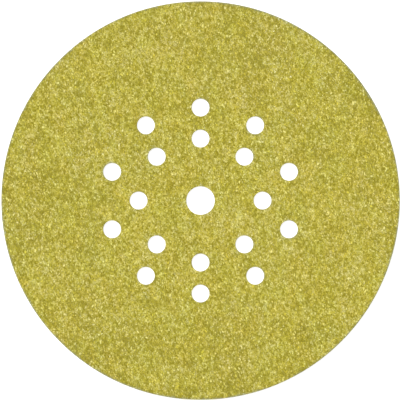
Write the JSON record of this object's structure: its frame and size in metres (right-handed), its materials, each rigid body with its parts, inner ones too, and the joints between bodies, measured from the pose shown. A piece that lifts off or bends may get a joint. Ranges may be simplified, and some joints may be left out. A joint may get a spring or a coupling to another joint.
{
  "type": "sanding disc",
  "caption": "Round flat sheet of yellow coated abrasive with a centre hole and two rings of small round dust holes, backed with looped pile for a wall sander's pad.",
  "frame": {"origin": "on the disc's axis, in the plane of the pile that it lies on", "axes": "+Z along the disc's axis, from the looped pile up to the grains; +Y through the pair of dust holes that lie on one radius line"},
  "size_m": [0.225, 0.225, 0.0018],
  "materials": {
    "coated_abrasive": "matte",
    "cut_paper": "matte",
    "looped_pile": "matte"
  },
  "bodies": {
    "root": {"sanding_disc": "coated_abrasive"}
  },
  "joints": []
}
